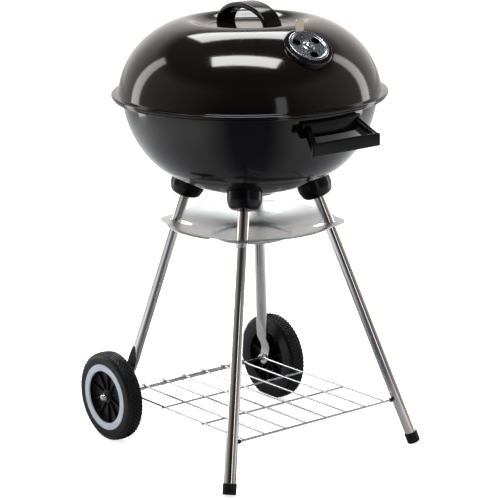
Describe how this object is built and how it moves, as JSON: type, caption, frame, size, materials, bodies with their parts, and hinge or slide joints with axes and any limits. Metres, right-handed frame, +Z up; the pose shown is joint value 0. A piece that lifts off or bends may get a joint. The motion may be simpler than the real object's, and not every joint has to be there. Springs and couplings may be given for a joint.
{
  "type": "kettle charcoal grill",
  "caption": "Round lidded charcoal kettle grill on splayed tube legs, with two wheels, a wire shelf and an ash plate.",
  "frame": {"origin": "on the floor under the middle of the object's box, which is also the axis of the bowl", "axes": "+Z up; -Y is the front with the side handle, the lid vent and the rubber feet; +Y is the wheel end; +X is the right-hand side seen from the front"},
  "size_m": [0.447, 0.483, 0.741],
  "materials": {
    "black_enamel": "deep gloss black enamel on steel sheet",
    "handle_plastic": "moulded black plastic with a soft gloss",
    "socket_plastic": "moulded black plastic, glossy",
    "vent_steel": "pressed plated steel, bright edge",
    "fastener_steel": "bright zinc plated steel",
    "zinc_sheet": "satin galvanised sheet",
    "grate_wire": "plated steel wire",
    "shelf_wire": "plated steel wire",
    "leg_chrome": "polished chrome on steel tube",
    "wheel_plastic": "moulded black plastic, satin, with a block tread",
    "wheel_white": "pale grey plastic band",
    "cap_rubber": "moulded black rubber"
  },
  "bodies": {
    "stand": {"bowl": "black_enamel", "bowl_damper_rivet": "fastener_steel", "side_handle": "handle_plastic", "side_handle_bracket": "handle_plastic", "side_handle_screw_left": "fastener_steel", "side_handle_screw_right": "fastener_steel", "grate_bracket_left_rear": "zinc_sheet", "grate_bracket_left_front": "zinc_sheet", "grate_bracket_right_front": "zinc_sheet", "grate_bracket_right_rear": "zinc_sheet", "leg_socket_left_rear": "socket_plastic", "leg_socket_left_front": "socket_plastic", "leg_socket_right_front": "socket_plastic", "leg_socket_right_rear": "socket_plastic", "leg_bolt_left_rear": "fastener_steel", "leg_bolt_left_front": "fastener_steel", "leg_bolt_right_front": "fastener_steel", "leg_bolt_right_rear": "fastener_steel", "leg_left_front": "leg_chrome", "leg_right_front": "leg_chrome", "leg_left_rear": "leg_chrome", "leg_right_rear": "leg_chrome", "foot_cap_left_front": "cap_rubber", "foot_cap_right_front": "cap_rubber", "axle": "shelf_wire", "left_wheel_spacer": "fastener_steel", "right_wheel_spacer": "fastener_steel", "left_axle_nut": "leg_chrome", "right_axle_nut": "leg_chrome", "wire_shelf": "shelf_wire", "shelf_bush_left": "cap_rubber", "shelf_bush_right": "cap_rubber"},
    "cover": {"lid": "black_enamel", "lid_handle": "handle_plastic", "lid_handle_screw_front": "fastener_steel", "lid_handle_screw_rear": "fastener_steel", "lid_damper_rivet": "vent_steel"},
    "top_vent": {"lid_damper": "vent_steel"},
    "ash_door": {"bowl_damper": "zinc_sheet"},
    "food_grate": {"cooking_grate": "grate_wire"},
    "coal_grate": {"charcoal_grate": "grate_wire"},
    "ash_catcher": {"ash_plate": "zinc_sheet"},
    "wheel_left": {"left_wheel": "wheel_plastic", "left_wheel_band": "wheel_white"},
    "wheel_right": {"right_wheel": "wheel_plastic", "right_wheel_band": "wheel_white"}
  },
  "joints": [
    {"name": "lid_lift", "type": "slide", "parent": "stand", "child": "cover", "axis": [0, 0, 1], "range_m": [0, 0.35]},
    {"name": "lid_damper_turn", "type": "hinge", "parent": "cover", "child": "top_vent", "pos_m": [-0.01102, -0.16162, 0.6882], "axis": [-0.039, -0.5722, 0.8192], "range_deg": [0, 60]},
    {"name": "bowl_damper_turn", "type": "hinge", "parent": "stand", "child": "ash_door", "pos_m": [0, 0, 0.43], "axis": [0, 0, 1], "range_deg": [0, 44]},
    {"name": "cooking_grate_lift", "type": "slide", "parent": "stand", "child": "food_grate", "axis": [0, 0, 1], "range_m": [0, 0.017]},
    {"name": "charcoal_grate_lift", "type": "slide", "parent": "stand", "child": "coal_grate", "axis": [0, 0, 1], "range_m": [0, 0.04]},
    {"name": "ash_plate_lift", "type": "slide", "parent": "stand", "child": "ash_catcher", "axis": [0, 0, 1], "range_m": [0, 0.025]},
    {"name": "left_wheel_spin", "type": "hinge", "parent": "stand", "child": "wheel_left", "pos_m": [-0.1738, 0.166, 0.07552], "axis": [1, 0, 0], "continuous": true},
    {"name": "right_wheel_spin", "type": "hinge", "parent": "stand", "child": "wheel_right", "pos_m": [0.1738, 0.166, 0.07552], "axis": [1, 0, 0], "continuous": true}
  ]
}
